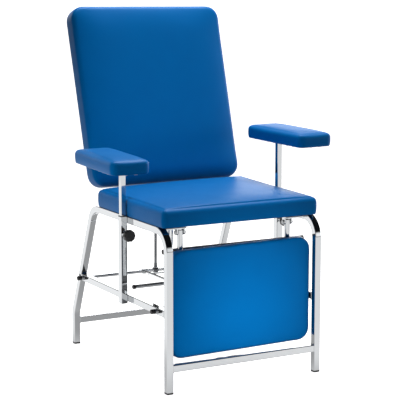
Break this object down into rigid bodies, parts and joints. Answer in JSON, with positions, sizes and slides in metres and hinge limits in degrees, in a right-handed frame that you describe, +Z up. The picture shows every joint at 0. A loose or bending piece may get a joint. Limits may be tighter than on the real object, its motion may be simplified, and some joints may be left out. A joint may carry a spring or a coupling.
{
  "type": "phlebotomy chair",
  "caption": "Reclining blood sampling chair with chromed square-tube frame, blue vinyl pads, linked legrest and height-adjustable padded armrests.",
  "frame": {"origin": "centre of the outline on the floor", "axes": "+Z up, -Y the way a sitter faces, +X to the right as seen from the front"},
  "size_m": [0.773, 0.7276, 1.1408],
  "materials": {
    "frame_chrome": "polished plating",
    "plated_steel": "zinc plated",
    "dark_rod": "grey nitrided rod",
    "black_enamel": "black satin enamel",
    "black_plastic": "moulded satin",
    "blue_vinyl": "smooth coated upholstery over foam",
    "plywood": "ply sealed in grey"
  },
  "bodies": {
    "frame": {"side_frame_left": "frame_chrome", "side_frame_right": "frame_chrome", "side_rail_left": "frame_chrome", "side_rail_right": "frame_chrome", "front_cross_rail": "frame_chrome", "rear_cross_rail": "frame_chrome", "plug_feet": "black_plastic", "post_sleeve_left": "frame_chrome", "post_sleeve_right": "frame_chrome", "sleeve_bushes": "black_plastic", "clamp_bosses": "frame_chrome", "front_tie_rod": "frame_chrome", "rear_tie_rod": "frame_chrome", "tie_rod_washers": "plated_steel", "tie_rod_caps": "black_plastic", "legrest_bracket_left": "frame_chrome", "legrest_bracket_right": "frame_chrome", "legrest_pivot_bolts": "plated_steel", "seat_board": "plywood", "seat_cushion": "blue_vinyl", "recline_pins": "plated_steel"},
    "backrest": {"recline_tube": "frame_chrome", "back_upright_left": "frame_chrome", "back_upright_right": "frame_chrome", "upright_plugs": "black_plastic", "back_cross_bar": "frame_chrome", "strut_anchor_pin": "plated_steel", "back_board": "plywood", "back_cushion": "blue_vinyl", "link_pin": "plated_steel"},
    "legrest": {"legrest_arm_left": "frame_chrome", "legrest_arm_right": "frame_chrome", "legrest_arm_plugs": "black_plastic", "legrest_cross_tube": "frame_chrome", "cross_tube_plugs": "black_plastic", "legrest_link_pin": "plated_steel", "legrest_board": "plywood", "legrest_cushion": "blue_vinyl"},
    "link": {"link_bar": "plated_steel"},
    "strut_foot": {"strut_rod": "dark_rod"},
    "strut_tube": {"strut_cylinder": "black_enamel"},
    "release_lever": {"release_fork": "frame_chrome", "release_bar": "frame_chrome", "release_bar_caps": "black_plastic"},
    "armrest_left": {"armrest_post_left": "frame_chrome", "post_glides_left": "black_plastic", "armrest_board_left": "plywood", "armrest_cushion_left": "blue_vinyl"},
    "armrest_right": {"armrest_post_right": "frame_chrome", "post_glides_right": "black_plastic", "armrest_board_right": "plywood", "armrest_cushion_right": "blue_vinyl"},
    "clamp_left": {"clamp_knob_left": "black_plastic", "clamp_stud_left": "plated_steel"},
    "clamp_right": {"clamp_knob_right": "black_plastic", "clamp_stud_right": "plated_steel"}
  },
  "joints": [
    {"name": "backrest_recline", "type": "hinge", "parent": "frame", "child": "backrest", "pos_m": [0, 0.15024, 0.49], "axis": [-1, 0, 0], "range_deg": [0, 40]},
    {"name": "legrest_lift", "type": "hinge", "parent": "frame", "child": "legrest", "pos_m": [0, -0.28976, 0.482], "axis": [-1, 0, 0], "range_deg": [0, 40]},
    {"name": "link_turn", "type": "hinge", "parent": "legrest", "child": "link", "pos_m": [0, -0.28976, 0.312], "axis": [-1, 0, 0], "range_deg": [-40, 0]},
    {"name": "strut_swing", "type": "hinge", "parent": "frame", "child": "strut_foot", "pos_m": [0, 0.25324, 0.246], "axis": [-1, 0, 0], "range_deg": [0, 9.49]},
    {"name": "strut_slide", "type": "slide", "parent": "strut_foot", "child": "strut_tube", "axis": [0, -0.0113, 0.9999], "range_m": [-0.08238, 0]},
    {"name": "release_press", "type": "hinge", "parent": "frame", "child": "release_lever", "pos_m": [0, 0.25324, 0.246], "axis": [-1, 0, 0], "range_deg": [0, 12], "stiffness_Nm_per_rad": 20, "springref_deg": -11.46},
    {"name": "armrest_left_height", "type": "slide", "parent": "frame", "child": "armrest_left", "axis": [0, 0, 1], "range_m": [-0.06, 0.11]},
    {"name": "armrest_right_height", "type": "slide", "parent": "frame", "child": "armrest_right", "axis": [0, 0, 1], "range_m": [-0.105, 0.065]},
    {"name": "clamp_left_turn", "type": "hinge", "parent": "frame", "child": "clamp_left", "pos_m": [-0.285, -0.10576, 0.453], "axis": [0, 1, 0], "range_deg": [-180, 180]},
    {"name": "clamp_right_turn", "type": "hinge", "parent": "frame", "child": "clamp_right", "pos_m": [0.285, -0.10576, 0.453], "axis": [0, 1, 0], "range_deg": [-180, 180]}
  ],
  "couplings": [
    {"joint": "legrest_lift", "follows": "backrest_recline", "ratio": 1},
    {"joint": "link_turn", "follows": "backrest_recline", "ratio": -1},
    {"joint": "strut_swing", "follows": "backrest_recline", "ratio": 0.2373},
    {"joint": "strut_slide", "follows": "backrest_recline", "m_per_rad": -0.11798}
  ]
}
